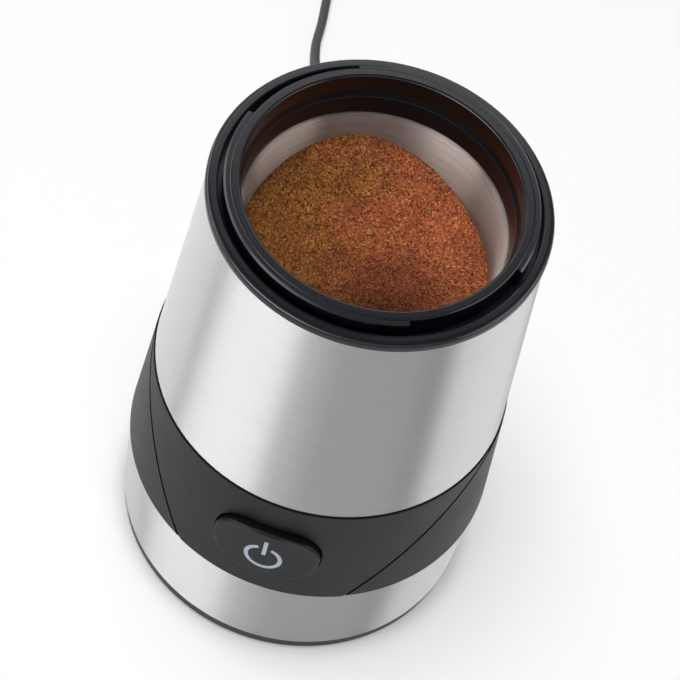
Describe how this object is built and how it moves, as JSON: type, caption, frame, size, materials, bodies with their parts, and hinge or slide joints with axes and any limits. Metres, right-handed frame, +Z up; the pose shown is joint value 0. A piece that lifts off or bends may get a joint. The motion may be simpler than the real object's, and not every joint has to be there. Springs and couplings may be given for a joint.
{
  "type": "electric spice grinder",
  "caption": "Tapered electric spice grinder in black plastic and brushed steel: steel bowl with a blade, bayonet collar for a lid, lit power button, motor and flat mains cord.",
  "frame": {"origin": "on the floor, under the motor shaft's axis, at the centre of the base", "axes": "+Z up along the motor shaft; the power button faces -Y; the cord leaves the back along +Y"},
  "size_m": [0.1124, 0.3655, 0.1647],
  "materials": {
    "foot_ring": "moulded black plastic, fine matt texture",
    "soft_rubber": "matt black rubber",
    "boot_rubber": "moulded flexible boot, satin black",
    "zinc_screw": "zinc-plated steel",
    "steel_sleeve": "stainless steel brushed round the body",
    "band_plastic": "satin dark grey ABS",
    "panel_plastic": "satin dark grey ABS",
    "button_gloss": "polished black ABS",
    "symbol_clear": "clear polycarbonate, lit bluish white",
    "collar_black": "polished black ABS",
    "bowl_steel": "spun stainless steel",
    "blade_steel": "ground stainless steel",
    "hidden_black": "moulded black nylon",
    "spice_ground": "dry ground spice, loose plant matter",
    "chassis_plastic": "unpainted moulded plastic, off-white",
    "motor_bracket": "pressed sheet",
    "sintered_bronze": "oiled sintered bronze",
    "holder_brass": "pressed brass",
    "lamination_steel": "stacked laminations, varnished",
    "winding_copper": "enamelled copper wire",
    "shaft_steel": "ground steel",
    "spring_steel": "spring wire",
    "brush_carbon": "pressed carbon",
    "switch_case": "blue thermoset case",
    "board_green": "lacquered circuit board",
    "seal_brown": "oil-resistant rubber",
    "suppressor_case": "yellow film-capacitor case",
    "lead_sheath": "insulated leads",
    "cord_black": "matt black flex sheath",
    "plug_black": "moulded black plug body",
    "pin_nickel": "nickel-plated brass"
  },
  "bodies": {
    "base_unit": {"base_plate": "foot_ring", "rubber_feet": "soft_rubber", "motor_dampers": "soft_rubber", "bowl_gasket": "soft_rubber", "strain_relief": "boot_rubber", "base_screws": "zinc_screw", "panel_screws": "zinc_screw", "collar_screws": "zinc_screw", "cup_screws": "zinc_screw", "motor_mount_screws": "zinc_screw", "motor_screws": "zinc_screw", "clamp_screws": "zinc_screw", "lower_sleeve": "steel_sleeve", "upper_sleeve": "steel_sleeve", "band_housing": "band_plastic", "front_panel": "panel_plastic", "indicator_lamp": "symbol_clear", "top_collar": "collar_black", "bowl": "bowl_steel", "bowl_bush": "hidden_black", "switch_carrier": "hidden_black", "cord_clamp": "hidden_black", "ground_spice": "spice_ground", "bowl_cup": "chassis_plastic", "inner_chassis": "chassis_plastic", "top_bracket": "motor_bracket", "bottom_bracket": "motor_bracket", "upper_bearing": "sintered_bronze", "lower_bearing": "sintered_bronze", "brush_holders": "holder_brass", "stator_core": "lamination_steel", "field_windings": "winding_copper", "brush_springs": "spring_steel", "carbon_brushes": "brush_carbon", "power_switch": "switch_case", "interlock_switch": "switch_case", "lamp_board": "board_green", "shaft_seal": "seal_brown", "suppressor": "suppressor_case", "inner_wiring": "lead_sheath", "power_cord": "cord_black", "cord_coil": "cord_black", "cord_tail": "cord_black", "plug": "plug_black", "plug_pins": "pin_nickel"},
    "drive": {"motor_shaft": "shaft_steel", "armature_core": "lamination_steel", "armature_windings": "winding_copper", "commutator": "winding_copper", "cooling_fan": "chassis_plastic", "blade_hub": "hidden_black", "blade": "blade_steel", "blade_nut": "blade_steel"},
    "button": {"power_button": "button_gloss", "light_guide": "symbol_clear"},
    "switch_plunger": {"switch_plunger": "chassis_plastic"},
    "interlock_pin": {"interlock_pin": "shaft_steel"},
    "interlock_plunger": {"interlock_plunger": "chassis_plastic"}
  },
  "joints": [
    {"name": "motor_spin", "type": "hinge", "parent": "base_unit", "child": "drive", "pos_m": [0, 0, 0.08], "axis": [0, 0, 1], "continuous": true},
    {"name": "power_button_press", "type": "slide", "parent": "base_unit", "child": "button", "axis": [0, 1, 0], "range_m": [0, 0.0015], "stiffness_N_per_m": 1200, "springref_m": -0.0008},
    {"name": "switch_plunger_press", "type": "slide", "parent": "base_unit", "child": "switch_plunger", "axis": [0, 1, 0], "range_m": [0, 0.0015]},
    {"name": "interlock_pin_press", "type": "slide", "parent": "base_unit", "child": "interlock_pin", "axis": [0, 0, -1], "range_m": [0, 0.002], "stiffness_N_per_m": 600, "springref_m": -0.001},
    {"name": "interlock_plunger_press", "type": "slide", "parent": "base_unit", "child": "interlock_plunger", "axis": [0, 0, -1], "range_m": [0, 0.002]}
  ],
  "couplings": [
    {"joint": "switch_plunger_press", "follows": "power_button_press", "ratio": 1},
    {"joint": "interlock_plunger_press", "follows": "interlock_pin_press", "ratio": 1}
  ]
}
